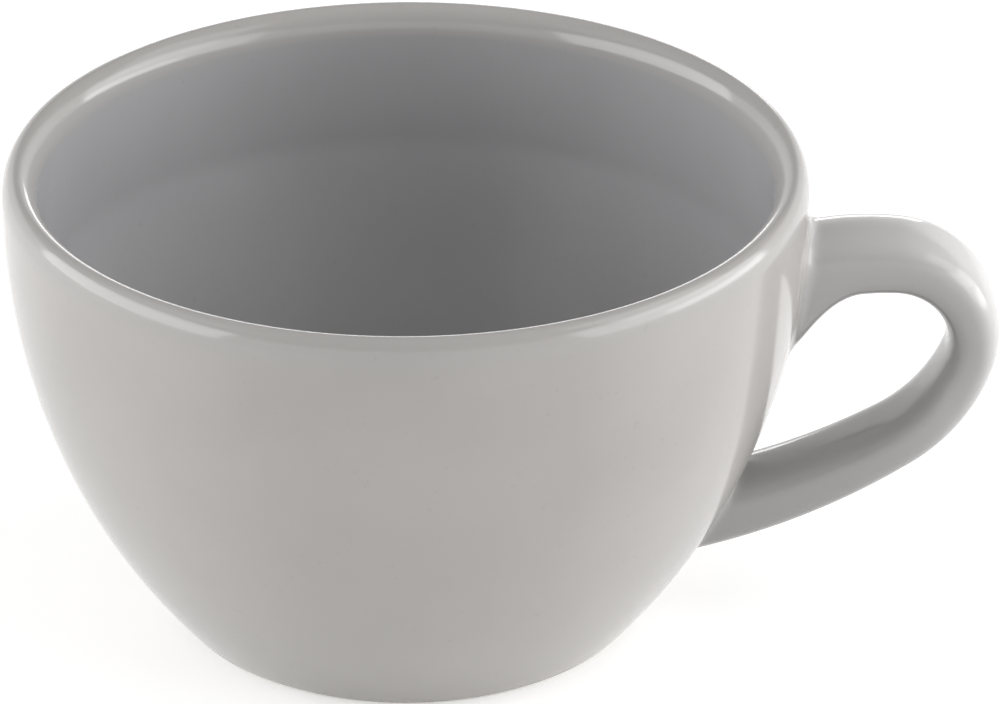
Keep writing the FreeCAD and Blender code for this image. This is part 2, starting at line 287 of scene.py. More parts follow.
@dataclass(frozen=True)
class GreyGlaze:
    """Warm grey gloss glaze: soft clouds of tone, a very fine fired surface.

    In every finish a scale is patches to the metre and a bump is a strength and a
    height. Lengths are in metres.
    """

    name: str = "warm_grey_glaze"
    pale: Colour = (0.452, 0.432, 0.415)
    deep: Colour = (0.415, 0.397, 0.382)
    # painted shade: the drinking side is a cooler copy of the same glaze, standing in for the
    # cooler light inside the bowl
    inside_painted_pale: Colour = (0.432, 0.432, 0.441)
    inside_painted_deep: Colour = (0.401, 0.401, 0.410)
    # painted light and shade on the strap: darker where it faces down, lighter where it faces up,
    # around the strap's mid tone
    strap_painted_shade: Colour = (0.305, 0.301, 0.299)
    strap: Colour = (0.432, 0.425, 0.421)
    strap_painted_light: Colour = (0.590, 0.581, 0.577)
    light_and_shade_reach: float = 1.2
    # painted shade on the lip: its own tone, a touch darker than the side
    painted_lip_shade: Colour = (0.436, 0.421, 0.409)
    rim_shade: float = 0.96
    rim_span: Point = (0.0585, 0.0605)
    inside_radius: float = 0.0488
    inside_soft: Point = (0.0002, 0.0012)
    inside_belt: float = 0.0586
    inside_curve: float = 0.0760
    inside_floor: Point = (0.0035, 0.0045)
    speck: Colour = (0.90, 0.89, 0.88)
    speck_span: Point = (0.70, 0.80)
    speck_share: float = 0.5
    speck_scale: float = 900.0
    cloud_scale: float = 38.0
    gloss_scale: float = 120.0
    smoothest: float = 0.10
    dullest: float = 0.15
    roll_scale: float = 55.0
    roll_bump: Point = (0.35, 0.0002)
    peel_scale: float = 420.0
    peel_bump: Point = (0.25, 0.00002)
    bend: float = 1.5

    def material(self) -> Finish:
        """Build the glaze.

        Returns:
            The material.
        """
        sketch = NodeSketch(bpy.data.materials.new(self.name))
        axes = sketch.add("ShaderNodeSeparateXYZ")
        sketch.join(sketch.place, axes.inputs[0])
        clouds = sketch.noise(self.cloud_scale, detail=3.0)
        outside = sketch.tinted(clouds, self.deep, self.pale)
        # painted shade: the inside gets the cooler copy of the glaze, for the cooler light inside
        # the bowl
        inside = sketch.tinted(clouds, self.inside_painted_deep, self.inside_painted_pale)
        colour = sketch.mixed(self.painted_inside_mask(sketch, axes), outside, inside)
        # painted shade on the lip: it gets a tone of its own, a touch darker than the side
        low, full = self.rim_span
        upon_rim = sketch.between(axes.outputs["Z"], (low, 0.0), (full, 1.0))
        deep_rim = tuple(self.rim_shade * part for part in self.painted_lip_shade)
        colour = sketch.mixed(upon_rim, colour, sketch.tinted(clouds, deep_rim, self.painted_lip_shade))
        # painted light and shade on the strap: lighter on the sides that face up, darker on those
        # that face down and under the crook
        run = sketch.add("ShaderNodeAttribute", attribute_name=Handle.LIGHT_AND_SHADE).outputs["Fac"]
        tone = sketch.between(run, (-self.light_and_shade_reach, 0.0), (self.light_and_shade_reach, 1.0))
        ran = sketch.shade(tone, (0.0, 0.5, 1.0), self.strap_painted_shade, self.strap, self.strap_painted_light)
        share = sketch.add("ShaderNodeAttribute", attribute_name=Handle.SHARE).outputs["Fac"]
        colour = sketch.mixed(share, colour, ran)
        specks = sketch.noise(self.speck_scale, detail=1.0)
        dust = sketch.shade(specks, self.speck_span, WHITE, self.speck)
        colour = sketch.mixed(self.speck_share, colour, dust, "MULTIPLY")
        patches = sketch.noise(self.gloss_scale, detail=2.0)
        gloss = sketch.between(patches, (CLOUD_LOW, self.smoothest), (CLOUD_HIGH, self.dullest))
        rolls = sketch.noise(self.roll_scale, detail=1.0)
        peel = sketch.noise(self.peel_scale, detail=2.0)
        normal = sketch.bumps([(rolls, *self.roll_bump), (peel, *self.peel_bump)])
        return sketch.fired(colour, gloss, normal, self.bend)

    def painted_inside_mask(self, sketch: NodeSketch, axes: bpy.types.Node) -> Socket:
        """Mask of the drinking side, which gets painted shade: a cooler copy of the glaze.

        Args:
            sketch: Material being wired.
            axes: Node that parts the object coordinates.

        Returns:
            1 on the inner wall and floor, 0 outside, soft over the lip.
        """
        flat = sketch.add("ShaderNodeCombineXYZ")
        sketch.join(axes.outputs["X"], flat.inputs["X"])
        sketch.join(axes.outputs["Y"], flat.inputs["Y"])
        reach = sketch.add("ShaderNodeVectorMath", operation="LENGTH")
        sketch.join(flat.outputs[0], reach.inputs[0])
        # the side curves in below the belt, so the mask follows the same arc
        height = axes.outputs["Z"]
        drop = sketch.between(height, (0.0, self.inside_belt), (self.inside_belt, 0.0))
        curve = 1.0 / (2.0 * self.inside_curve)
        fall = sketch.maths("MULTIPLY", sketch.maths("POWER", drop, 2.0), curve)
        unbent = sketch.maths("ADD", reach.outputs["Value"], fall)
        inner, outer = (self.inside_radius + soft for soft in self.inside_soft)
        within = sketch.between(unbent, (inner, 1.0), (outer, 0.0))
        low, full = self.inside_floor
        above = sketch.between(height, (low, 0.0), (full, 1.0))
        return sketch.maths("MULTIPLY", within, above)


@dataclass(frozen=True)
class FiredClay:
    """Bare fired clay: chalky, with fine grain and a few open pits."""

    name: str = "bare_fired_clay"
    pale: Colour = (0.70, 0.66, 0.60)
    deep: Colour = (0.58, 0.54, 0.48)
    fleck: Colour = (0.72, 0.68, 0.62)
    fleck_span: Point = (0.66, 0.78)
    fleck_share: float = 0.7
    cloud_scale: float = 90.0
    cloud_bump: Point = (0.3, 0.0001)
    grain_scale: float = 1600.0
    grain_bump: Point = (0.6, 0.00005)
    smoothest: float = 0.78
    dullest: float = 0.92
    bend: float = 1.45

    def material(self) -> Finish:
        """Build the clay.

        Returns:
            The material.
        """
        sketch = NodeSketch(bpy.data.materials.new(self.name))
        clouds = sketch.noise(self.cloud_scale, detail=4.0)
        grain = sketch.noise(self.grain_scale, detail=2.0)
        tone = sketch.tinted(clouds, self.deep, self.pale)
        flecks = sketch.shade(grain, self.fleck_span, WHITE, self.fleck)
        worn = sketch.mixed(self.fleck_share, tone, flecks, "MULTIPLY")
        gloss = sketch.between(clouds, (CLOUD_LOW, self.smoothest), (CLOUD_HIGH, self.dullest))
        normal = sketch.bumps([(clouds, *self.cloud_bump), (grain, *self.grain_bump)])
        return sketch.fired(worn, gloss, normal, self.bend)


@dataclass(frozen=True)
class FiredSlip:
    """Slip that joins the handle to the wall: finer and a little greyer."""

    name: str = "fired_joining_slip"
    pale: Colour = (0.64, 0.61, 0.56)
    deep: Colour = (0.54, 0.51, 0.46)
    streak_span: Point = (0.35, 0.65)
    streak_scale: float = 300.0
    streak_bump: Point = (0.4, 0.00008)
    smoothest: float = 0.7
    dullest: float = 0.85
    bend: float = 1.45

    def material(self) -> Finish:
        """Build the slip.

        Returns:
            The material.
        """
        sketch = NodeSketch(bpy.data.materials.new(self.name))
        streaks = sketch.noise(self.streak_scale, detail=3.0)
        tone = sketch.shade(streaks, self.streak_span, self.deep, self.pale)
        gloss = sketch.between(streaks, (CLOUD_LOW, self.smoothest), (CLOUD_HIGH, self.dullest))
        normal = sketch.bumps([(streaks, *self.streak_bump)])
        return sketch.fired(tone, gloss, normal, self.bend)


@dataclass(frozen=True)
class PaleFloor:
    """Plain white studio floor that still takes the cup's shadow."""

    name: str = "pale_studio_floor"
    pale: Colour = (0.86, 0.86, 0.86)
    fibre_shade: float = 0.985
    fibre_scale: float = 6.0
    glow: float = 0.42

    def material(self) -> Finish:
        """Build the floor: white paper, with a little glow for the eye and the gloss.

        Returns:
            The material.
        """
        sketch = NodeSketch(bpy.data.materials.new(self.name))
        fibre = sketch.noise(self.fibre_scale, detail=2.0)
        deep = tuple(self.fibre_shade * part for part in self.pale)
        paper = sketch.add("ShaderNodeBsdfDiffuse")
        sketch.join(sketch.tinted(fibre, deep, self.pale), paper.inputs["Color"])
        glow = sketch.add("ShaderNodeEmission", in_Strength=self.glow)
        nothing = sketch.add("ShaderNodeEmission", in_Strength=0.0)
        rays = sketch.add("ShaderNodeLightPath").outputs
        seen = sketch.maths("MAXIMUM", rays["Is Camera Ray"], rays["Is Glossy Ray"])
        lit = sketch.either(seen, nothing.outputs[0], glow.outputs[0])
        both = sketch.add("ShaderNodeAddShader")
        sketch.join(paper.outputs[0], both.inputs[0])
        sketch.join(lit, both.inputs[1])
        sketch.join(both.outputs[0], sketch.output.inputs["Surface"])
        return sketch.owner


# ---------------------------------------------------------------- turning


@dataclass
class HalfSection:
    """A run of points beside the cup's axis, in millimetres: radius and height."""

    points: list[Point] = field(default_factory=list)

    def to(self, radius: float, height: float, steps: int = 1) -> Self:
        """Draw a straight run.

        Args:
            radius: Where it ends, from the axis.
            height: Where it ends, above the table.
            steps: Points along it.

        Returns:
            The section itself.
        """
        if not self.points:
            self.points.append((radius, height))
            return self
        start = self.points[-1]
        for step in range(1, steps + 1):
            share = step / steps
            across = start[0] + (radius - start[0]) * share
            up = start[1] + (height - start[1]) * share
            self.points.append((across, up))
        return self

    def arc(self, centre: Point, size: float, start: float, end: float, steps: int) -> Self:
        """Draw an arc, as an oval that reaches as far up as out."""
        return self.oval(centre, (size, size), start, end, steps)

    def oval(self, centre: Point, reach: Point, start: float, end: float, steps: int) -> Self:
        """Draw a part of an oval.

        Args:
            centre: Radius and height of its centre.
            reach: Its half width and half height.
            start: Angle of its first point, in degrees from outwards.
            end: Angle of its last point.
            steps: Points along it.

        Returns:
            The section itself.
        """
        for step in range(steps + 1):
            angle = math.radians(start + (end - start) * step / steps)
            across, up = reach[0] * math.cos(angle), reach[1] * math.sin(angle)
            spot = (centre[0] + across, centre[1] + up)
            if not self.points or math.dist(spot, self.points[-1]) > SAME_SPOT:
                self.points.append(spot)
        return self


class WheelTree(Wiring):
    """Node tree that turns a half-section round the axis, as on a potter's wheel."""

    def __init__(self) -> None:
        """Build the tree with its named inputs."""
        self.tree = bpy.data.node_groups.new("potters_wheel", "GeometryNodeTree")
        face = self.tree.interface
        face.new_socket("Geometry", in_out="OUTPUT", socket_type="NodeSocketGeometry")
        face.new_socket("Half Section", in_out="INPUT", socket_type="NodeSocketGeometry")
        self.dials: list[str] = []
        for name, kind in (
            ("Steps Around", "Int"),
            ("Seam Gap Closed", "Float"),
            ("Finish", "Material"),
        ):
            dial = face.new_socket(name, in_out="INPUT", socket_type="NodeSocket" + kind)
            self.dials.append(dial.identifier)
        self.wire()

    def wire(self) -> None:
        """Wire the turning: a grid of steps by section points, bent round the axis."""
        source = self.add("NodeGroupInput").outputs
        count = self.add("GeometryNodeAttributeDomainSize")
        self.join(source["Half Section"], count.inputs[0])
        points = count.outputs["Point Count"]
        grid = self.add("GeometryNodeMeshGrid")
        self.join(self.maths("ADD", source["Steps Around"], 1.0), grid.inputs["Vertices X"])
        self.join(points, grid.inputs["Vertices Y"])
        # half a point more keeps the division clear of rounding
        index = self.add("GeometryNodeInputIndex").outputs[0]
        nudged = self.maths("ADD", index, 0.5)
        column = self.maths("FLOOR", self.maths("DIVIDE", nudged, points))
        row = self.maths("SUBTRACT", index, self.maths("MULTIPLY", column, points))
        turned = self.maths("DIVIDE", column, source["Steps Around"])
        angle = self.maths("MULTIPLY", turned, math.tau)
        sample = self.add("GeometryNodeSampleIndex", data_type="FLOAT_VECTOR")
        self.join(source["Half Section"], sample.inputs["Geometry"])
        self.join(self.add("GeometryNodeInputPosition").outputs[0], sample.inputs["Value"])
        self.join(row, sample.inputs["Index"])
        parts = self.add("ShaderNodeSeparateXYZ")
        self.join(sample.outputs[0], parts.inputs[0])
        place = self.add("ShaderNodeCombineXYZ")
        for axis, part in (("X", "COSINE"), ("Y", "SINE")):
            reach = self.maths("MULTIPLY", parts.outputs["X"], self.maths(part, angle))
            self.join(reach, place.inputs[axis])
        self.join(parts.outputs["Z"], place.inputs["Z"])
        shape = grid.outputs["Mesh"]
        for kind, settings in (
            ("SetPosition", {"Position": place.outputs[0]}),
            ("MergeByDistance", {"Distance": source["Seam Gap Closed"]}),
            ("SetShadeSmooth", {}),
            ("RealizeInstances", {}),
            ("SetMaterial", {"Material": source["Finish"]}),
        ):
            node = self.add("GeometryNode" + kind)
            for name, value in {"Geometry": shape, **settings}.items():
                self.join(value, node.inputs[name])
            shape = node.outputs[0]
        self.join(shape, self.add("NodeGroupOutput").inputs["Geometry"])

    def turn(
        self, name: str, section: HalfSection, finish: Finish, steps: int = 288
    ) -> bpy.types.Object:
        """Turn one closed half-section into a piece.

        Args:
            name: Name of the piece.
            section: Its half-section, both ends on the axis.
            finish: Its material.
            steps: Facets around.

        Returns:
            The turned piece, as a plain mesh.
        """
        outline = bpy.data.meshes.new(name + "_half_section")
        spots = [(radius * MM, 0.0, height * MM) for radius, height in section.points]
        outline.from_pydata(spots, [(at, at + 1) for at in range(len(spots) - 1)], [])
        piece = show(name, outline)
        wheel = piece.modifiers.new("wheel", "NODES")
        wheel.node_group = self.tree
        for dial, value in zip(self.dials, (steps, SEAM_GAP, finish)):
            wheel[dial] = value
        shown = piece.evaluated_get(bpy.context.evaluated_depsgraph_get())
        turned = bpy.data.meshes.new_from_object(shown)
        piece.modifiers.remove(wheel)
        piece.data = turned
        turned.name = name
        face_outwards(turned)
        return piece


def show(name: str, data: bpy.types.ID) -> bpy.types.Object:
    """Put a mesh, a lamp or a camera in the scene.

    Args:
        name: Its name.
        data: The mesh, lamp or camera.

    Returns:
        The object.
    """
    thing = bpy.data.objects.new(name, data)
    bpy.context.scene.collection.objects.link(thing)
    return thing


def face_outwards(mesh: bpy.types.Mesh) -> None:
    """Flip a closed mesh whose faces point inwards.

    Args:
        mesh: Closed mesh with faces that agree with each other.
    """
    spots = np.empty(len(mesh.vertices) * 3)
    mesh.vertices.foreach_get("co", spots)
    spots = spots.reshape(-1, 3)
    mesh.calc_loop_triangles()
    corners = np.empty(len(mesh.loop_triangles) * 3, dtype=np.int32)
    mesh.loop_triangles.foreach_get("vertices", corners)
    first, second, third = (spots[corners.reshape(-1, 3)[:, at]] for at in range(3))
    # each face and the origin close a wedge, a sixth of their triple product
    volume = np.einsum("ij,ij->i", first, np.cross(second, third)).sum() / 6.0
    if volume < 0:
        mesh.flip_normals()
    mesh.update()
    log.info("%s holds %.2f cubic centimetres", mesh.name, abs(volume) / CM**3)


# ---------------------------------------------------------------- the bowl


@dataclass
class Bowl:
    """The bowl: clay with its foot ring, the glaze over it and in its recess.

    Sizes are in millimetres. The side is an arc whose centre lies beyond the axis,
    and a skin of any depth under the glaze's surface shares that centre.
    """

    rim_radius: float = 52.0
    side_radius: float = 88.3
    belt_height: float = 58.6
    lip_height: float = 63.2
    wall: float = 3.2
    floor_height: float = 5.7
    floor_round: float = 16.7
    lip_outer_width: float = 1.9
    lip_outer_drop: float = 3.5
    lip_inner_width: float = 2.6
    lip_inner_drop: float = 4.1
    glaze: float = 0.3
    glaze_foot: float = 0.8
    ring_inner_radius: float = 26.0
    recess_height: float = 1.8
    recess_round: float = 1.0
    foot_round: float = 1.0
    ring_softening: float = 0.4
    disc_radius: float = 24.5
    disc_edge: float = 0.14
    hub_share: float = 0.1
    hub_radius: float = 2.0
    side_steps: int = 44
    round_steps: int = 8

    @property
    def arc_axis(self) -> float:
        """Radius of the side's arc centre: beyond the axis, so it is below nought."""
        return self.rim_radius - self.side_radius

    def upwards(self, section: HalfSection, depth: float) -> None:
        """Draw from the axis over the inner floor, up the inner wall and over the lip.

        Args:
            section: Section to draw on.
            depth: Depth under the glaze's surface.
        """
        floor = self.floor_height - depth
        size = self.floor_round + depth
        inner = self.side_radius - self.wall + depth
        across = math.sqrt((inner - size) ** 2 - (floor + size - self.belt_height) ** 2)
        corner = (self.arc_axis + across, floor + size)
        meet = math.degrees(math.atan2(corner[1] - self.belt_height, across))
        section.to(0.0, floor)
        section.to(corner[0] * self.hub_share, floor).to(corner[0], floor, steps=7)
        section.arc(corner, size, -90.0, meet, steps=18)
        top = self.lip_height - depth
        crown = self.rim_radius - self.lip_outer_width
        width, drop = self.lip_inner_width - depth, self.lip_inner_drop - depth
        # the lip is thicker than the wall: its inner face drops straight to the wall's arc
        rest = math.degrees(math.acos((crown - width - self.arc_axis) / inner))
        section.arc((self.arc_axis, self.belt_height), inner, meet, -rest, steps=22)
        section.to(crown - width, top - drop, steps=12)
        section.oval((crown, top - drop), (width, drop), 180.0, 90.0, steps=26)
        width, drop = self.lip_outer_width - depth, self.lip_outer_drop - depth
        section.oval((crown, top - drop), (width, drop), 90.0, 0.0, steps=20)
        section.to(self.rim_radius - depth, self.belt_height, steps=3)

    def glaze_section(self) -> HalfSection:
        """Draw the coat: its surface, a soft lower edge and its back.

        Returns:
            The closed half-section.
        """
        surface, back = HalfSection(), HalfSection()
        centre = (self.arc_axis, self.belt_height)
        middle = self.side_radius - self.glaze / 2
        fall = self.glaze_foot + self.glaze / 2 - self.belt_height
        edge = math.degrees(math.asin(fall / middle))
        self.upwards(surface, 0.0)
        surface.arc(centre, self.side_radius, 0.0, edge, self.side_steps)
        turn = math.radians(edge)
        bead = (centre[0] + middle * math.cos(turn), centre[1] + middle * math.sin(turn))
        surface.arc(bead, self.glaze / 2, edge, edge - 180.0, self.round_steps)
        self.upwards(back, self.glaze)
        back.arc(centre, self.side_radius - self.glaze, 0.0, edge, self.side_steps)
        surface.points.extend(reversed(back.points[:-1]))
        return surface

    def clay_section(self) -> HalfSection:
        """Draw the clay: drinking side, outside, foot ring and recess.

        Returns:
            The closed half-section.
        """
        section = HalfSection()
        self.upwards(section, self.glaze)
        centre = (self.arc_axis, self.belt_height)
        size = self.side_radius - self.glaze
        # the foot's rounding touches the side's arc and the table
        fall = self.foot_round - self.belt_height
        across = math.sqrt((size - self.foot_round) ** 2 - fall**2)
        corner = (centre[0] + across, self.foot_round)
        meet = math.degrees(math.atan2(fall, across))
        section.arc(centre, size, 0.0, meet, self.side_steps)
        section.arc(corner, self.foot_round, meet, -90.0, self.round_steps)
        soft = self.ring_softening
        section.arc((self.ring_inner_radius + soft, soft), soft, -90.0, -180.0, steps=6)
        turn = self.recess_round
        corner = (self.ring_inner_radius - turn, self.recess_height - turn)
        section.arc(corner, turn, 0.0, 90.0, self.round_steps)
        section.to(self.hub_radius, self.recess_height, self.round_steps)
        return section.to(0.0, self.recess_height)

    def disc_section(self) -> HalfSection:
        """Draw the glaze in the recess, with a soft edge.

        Returns:
            The closed half-section.
        """
        low, high, soft = self.recess_height - self.glaze, self.recess_height, self.disc_edge
        edge = self.disc_radius - soft
        section = HalfSection().to(0.0, high).to(self.hub_radius, high)
        section.to(edge, high, self.round_steps)
        section.arc((edge, high - soft), soft, 90.0, 0.0, steps=4)
        section.arc((edge, low + soft), soft, 0.0, -90.0, steps=5)
        return section.to(self.hub_radius, low, self.round_steps).to(0.0, low)

    def build(self, wheel: WheelTree, glaze: Finish, clay: Finish) -> None:
        """Turn and dress the coat, the clay and the glaze in the recess.

        Args:
            wheel: Tree that turns them.
            glaze: Finish of the glaze.
            clay: Finish of the bare clay.
        """
        coat = wheel.turn("bowl_glaze", self.glaze_section(), glaze)
        body = wheel.turn("clay_bowl", self.clay_section(), clay)
        disc = wheel.turn("recess_glaze", self.disc_section(), glaze, steps=192)
        settle(coat, Node.COAT)
        settle(body, Node.BOWL)
        settle(disc, Node.FOOT_GLAZE)

    def outside(self, spots: Array) -> Array:
        """Distance of points outside the glazed side.

        Args:
            spots: Points, in millimetres.

        Returns:
            Distances, below nought inside the wall.
        """
        radius = np.hypot(spots[..., 0], spots[..., 1])
        up = spots[..., 2] - self.belt_height
        return np.hypot(radius - self.arc_axis, up) - self.side_radius

    def outwards(self, spots: Array) -> Array:
        """Directions square to the glazed side at points near it.

        Args:
            spots: Points, in millimetres.

        Returns:
            Directions of length one.
        """
        radius = np.hypot(spots[..., 0], spots[..., 1])
        across, up = radius - self.arc_axis, spots[..., 2] - self.belt_height
        reach = np.hypot(across, up)
        flat = across / reach / radius
        return np.stack([spots[..., 0] * flat, spots[..., 1] * flat, up / reach], axis=-1)

    def onto(self, spots: Array, lift: float) -> Array:
        """Move points onto the glazed side, or a lift above it."""
        shift = lift - self.outside(spots)
        return spots + self.outwards(spots) * shift[..., None]


# ---------------------------------------------------------------- the handle


@dataclass(frozen=True)
class Arm:
    """One arc of the handle's centre line, which turns down as it goes."""

    radius: float
    turn: float
    end_depth: float

    @property
    def length(self) -> float:
        """Length of the arc, in millimetres."""
        return self.radius * math.radians(self.turn)


@dataclass
class Handle:
    """The pulled strap handle under its glaze, blended into the bowl's side.

    Sizes are in millimetres and degrees, of the glazed surface.
    """

    LIGHT_AND_SHADE: ClassVar[str] = "painted_light_and_shade"
    SHARE: ClassVar[str] = "strap_share"
    root: Point = (44.0, 46.2)
    rise: float = 28.5
    start_depth: float = 8.8
    arms: tuple[Arm, ...] = (
        Arm(36.0, 32.0, 7.5),
        Arm(10.7, 106.2, 6.1),
        Arm(23.2, 38.0, 6.1),
        Arm(86.0, 22.4, 8.5),
    )
    start_width: float = 12.6
    end_width: float = 12.0
    thin_squareness: float = 2.9
    thick_squareness: float = 3.0
    throat_squareness: float = 5.5
    fullness: float = 1.05
    outer_swell: float = 0.2
    swell_span: Point = (0.25, 0.5)
    section_points: int = 72
    throat_drop: float = 4.9
    throat_end: float = 0.77
    upper_fillet: float = 2.2
    lower_fillet: float = 1.9
    fillet_rings: int = 12
    rings: int = 150
    # how far the hidden rings lie in the wall, and past the blend
    plug_share: float = 0.5
    plug_depth: float = 1.2
    skirt: tuple[Point, ...] = ((0.5, -0.6), (0.9, -0.12), (0.45, -0.03))
    seat_depth: float = 0.006
    # where along the strap, and how much painted light (above nought) and painted shade (below
    # nought) lies there
    outer_light_and_shade: tuple[Point, ...] = ((0.0, 1.15), (0.36, 1.15), (0.55, 0.1), (0.72, -0.5))
    crook_light_and_shade: tuple[Point, ...] = ((0.0, -1.0), (0.38, -0.9), (0.52, 0.5), (0.9, 0.1))

    def line(self, stations: int) -> tuple[Array, Array, Array, Array]:
        """Walk the centre line.

        Args:
            stations: How many places along it.

        Returns:
            Distance walked, place and heading at each station, and the share of
            the first arm that is behind it.
        """
        total = sum(arm.length for arm in self.arms)
        walked = np.linspace(0.0, total, stations)
        place = np.empty((stations, 2))
        heading = np.empty(stations)
        start, angle, passed = np.array(self.root), math.radians(self.rise), 0.0
        for arm in self.arms:
            here = walked >= passed - ROUNDING
            turned = (walked[here] - passed) / arm.radius
            centre = start + arm.radius * np.array([math.sin(angle), -math.cos(angle)])
            heading[here] = angle - turned
            outwards = np.stack([-np.sin(heading[here]), np.cos(heading[here])], axis=-1)
            place[here] = centre + arm.radius * outwards
            angle -= math.radians(arm.turn)
            start = centre + arm.radius * np.array([-math.sin(angle), math.cos(angle)])
            passed += arm.length
        return walked, place, heading, walked / self.arms[0].length

    def outline(self, back: float, finger: float, half_width: float, throat: float) -> Array:
        """Soft section of the strap, between an oval and a rounded bar.

        Args:
            back: Distance from the centre line to the side away from the fingers.
            finger: Distance to the finger side.
            half_width: Half of the strap's width.
            throat: How far the section is in the throat, from 0 to 1.

        Returns:
            Points, each outwards and across.
        """
        angles = np.linspace(0.0, math.tau, self.section_points, endpoint=False)
        # the thin middle of the strap is rounder than its thick ends
        slimmest = min(arm.end_depth for arm in self.arms)
        stout = (2 * back - slimmest) / (self.start_depth - slimmest)
        squareness = self.thin_squareness + (self.thick_squareness - self.thin_squareness) * stout
        finger_squareness = squareness + (self.throat_squareness - squareness) * throat
        power = np.where(np.cos(angles) > 0, 2.0 / squareness, 2.0 / finger_squareness)
        out = np.sign(np.cos(angles)) * np.abs(np.cos(angles)) ** power
        across = np.sign(np.sin(angles)) * np.abs(np.sin(angles)) ** power
        depth = np.where(out > 0, back, finger) * self.fullness
        return np.stack([out * depth, across * half_width * self.fullness], axis=-1)

    def strap(self, stations: int = 1400) -> Array:
        """Points of the strap before it is blended.

        Args:
            stations: How many sections.

        Returns:
            Sections by points by three, in millimetres.
        """
        walked, place, heading, first = self.line(stations)
        bounds = np.concatenate([[0.0], np.cumsum([arm.length for arm in self.arms])])
        ends = [self.start_depth] + [arm.end_depth for arm in self.arms]
        depths = np.interp(walked, bounds, ends)
        widths = np.interp(walked, [0.0, walked[-1]], [self.start_width, self.end_width])
        ramp = np.clip((self.throat_end - first) / self.throat_end, 0.0, 1.0)
        flare = self.throat_drop * ramp**2 * (3 - 2 * ramp)
        swell = np.interp(walked / walked[-1], self.swell_span, (0.0, self.outer_swell))
        sections = []
        for at in range(stations):
            half = depths[at] / 2
            throat = flare[at] / self.throat_drop
            flat = self.outline(half + swell[at], half + flare[at], widths[at] / 2, throat)
            out = np.array([-math.sin(heading[at]), math.cos(heading[at])])
            spots = place[at] + flat[:, :1] * out
            sections.append(np.stack([spots[:, 0], flat[:, 1], spots[:, 1]], axis=-1))
        return np.array(sections)

    @staticmethod
    def crossing(strap: Array, bowl: Bowl) -> tuple[Array, Array]:
        """Where each lengthwise line of the strap leaves the bowl's side.

        Args:
            strap: Sections, the first ones inside the wall.
            bowl: The bowl.

        Returns:
            Station of each crossing, with its fraction, and the crossing itself.
        """
        gaps = bowl.outside(strap)
        stations, spots = [], []
        for line in range(strap.shape[1]):
            after = int(np.argmax(gaps[:, line] > 0))
            low, high = gaps[after - 1, line], gaps[after, line]
            share = -low / (high - low)
            stations.append(after - 1 + share)
            before, beyond = strap[after - 1, line], strap[after, line]
            spots.append(before + (beyond - before) * share)
        return np.array(stations), np.array(spots)

    @staticmethod
    def sampled(strap: Array, stations: Array) -> Array:
        """Point on every lengthwise line, each at its own station.

        Args:
            strap: Sections.
            stations: Station of each line's point, with its fraction.

        Returns:
            The points, one ring of them.
        """
        low = np.clip(stations.astype(int), 0, len(strap) - 2)
        share = (stations - low)[:, None]
        lines = np.arange(strap.shape[1])
        return strap[low, lines] * (1 - share) + strap[low + 1, lines] * share

    def blended(self, strap: Array, bowl: Bowl, size: float) -> tuple[list[Array], Array]:
        """Rings that blend one end of the strap into the bowl's side.

        Args:
            strap: Sections, the first ones inside the wall.
            bowl: The bowl.
            size: How far the blend reaches up the strap and out over the side.

        Returns:
            The rings from inside the wall to the strap, and the station where
            each line of the strap leaves the blend.
        """
        stations, meeting = self.crossing(strap, bowl)
        spacing = np.linalg.norm(np.diff(strap, axis=0), axis=-1).mean(axis=0)
        leave = stations + size / spacing
        free = self.sampled(strap, leave)
        along = np.roll(meeting, -1, axis=0) - np.roll(meeting, 1, axis=0)
        normal = bowl.outwards(meeting)
        away = np.cross(along, normal)
        away /= np.linalg.norm(away, axis=-1, keepdims=True)
        middle = meeting.mean(axis=0)
        if np.einsum("ij,ij->i", away, meeting - middle).mean() < 0:
            away = -away
        spread = bowl.onto(meeting + away * size, -self.seat_depth)
        inner = middle + (meeting - middle) * self.plug_share
        rings = [bowl.onto(inner, -self.plug_depth), bowl.onto(meeting, -self.plug_depth)]
        for reach, lift in self.skirt:
            rings.append(bowl.onto(meeting + away * (size + reach), lift))
        # each line bends from the bowl's side towards its crossing and up the strap
        for step in range(self.fillet_rings):
            share = step / self.fillet_rings
            rings.append(
                spread * (1 - share) ** 2 + meeting * 2 * share * (1 - share) + free * share**2
            )
        return rings, leave

    def surface(self, bowl: Bowl) -> tuple[Array, Array]:
        """Rings of the whole handle with its caps' centres.

        Args:
            bowl: The bowl it stands on.

        Returns:
            Rings by points by three, and the two cap centres.
        """
        strap = self.strap()
        upper, leave = self.blended(strap, bowl, self.upper_fillet)
        lower, arrive = self.blended(strap[::-1], bowl, self.lower_fillet)
        arrive = len(strap) - 1 - arrive
        rings = list(upper)
        for step in range(self.rings + 1):
            rings.append(self.sampled(strap, leave + (arrive - leave) * step / self.rings))
        rings.extend(reversed(lower))
        rings = np.array(rings)
        return rings, np.array([rings[0].mean(axis=0), rings[-1].mean(axis=0)])

    def strap_light_and_shade(self) -> tuple[Array, Array]:
        """Painted light and shade on the strap, ring by ring.

        Returns:
            Painted light (1) or painted shade (-1) at every point, and the share of the strap's
            tone, which fades to none where the rings lie on the bowl.
        """
        # no tone on the two rings of the plug and on the skirt
        bare = np.zeros(2 + len(self.skirt))
        fade = np.concatenate([bare, np.arange(self.fillet_rings) / self.fillet_rings])
        share = np.concatenate([fade, np.ones(self.rings + 1), fade[::-1]])
        along = np.clip((np.arange(len(share)) - len(fade)) / self.rings, 0.0, 1.0)
        outer = np.interp(along, *zip(*self.outer_light_and_shade))
        crook = np.interp(along, *zip(*self.crook_light_and_shade))
        angles = np.linspace(0.0, math.tau, self.section_points, endpoint=False)
        turned = (1 + np.cos(angles)) / 2
        run = outer[:, None] * turned + crook[:, None] * (1 - turned)
        return run, np.repeat(share[:, None], self.section_points, axis=1)

